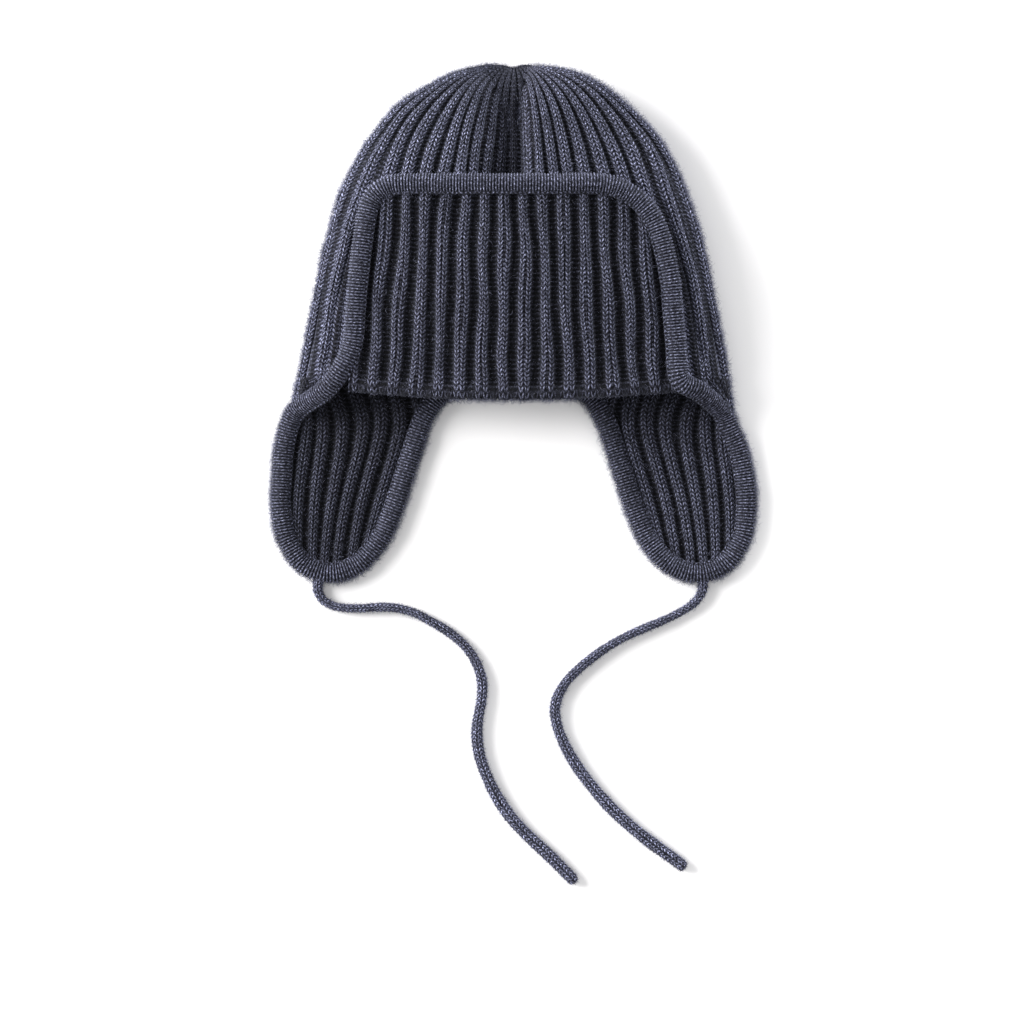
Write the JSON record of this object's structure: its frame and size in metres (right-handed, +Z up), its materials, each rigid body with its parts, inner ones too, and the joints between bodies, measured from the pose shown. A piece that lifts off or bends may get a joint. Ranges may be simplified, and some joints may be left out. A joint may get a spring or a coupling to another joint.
{
  "type": "knitted aviator hat",
  "caption": "Child's ribbed knit hat lying on its back, with a peak turned up at the front, bound ear flaps and knitted cord ties.",
  "frame": {"origin": "bottom centre of the hat as it lies on its back, its ties left out", "axes": "+Z up from the surface that it lies on, +Y from the rim to the top of the crown, +X to its right in the view from above"},
  "size_m": [0.2212, 0.3765, 0.0376],
  "materials": {
    "rib_knit": "heathered dark slate blue wool, two-by-two rib with a soft nap",
    "binding_knit": "the same wool, knitted across in fine ridges",
    "tie_knit": "the same wool, knitted cord"
  },
  "bodies": {
    "root": {"crown": "rib_knit", "peak": "rib_knit", "ear_flap_left": "rib_knit", "ear_flap_right": "rib_knit", "edge_binding": "binding_knit", "tie_left": "tie_knit", "tie_right": "tie_knit"}
  },
  "joints": []
}
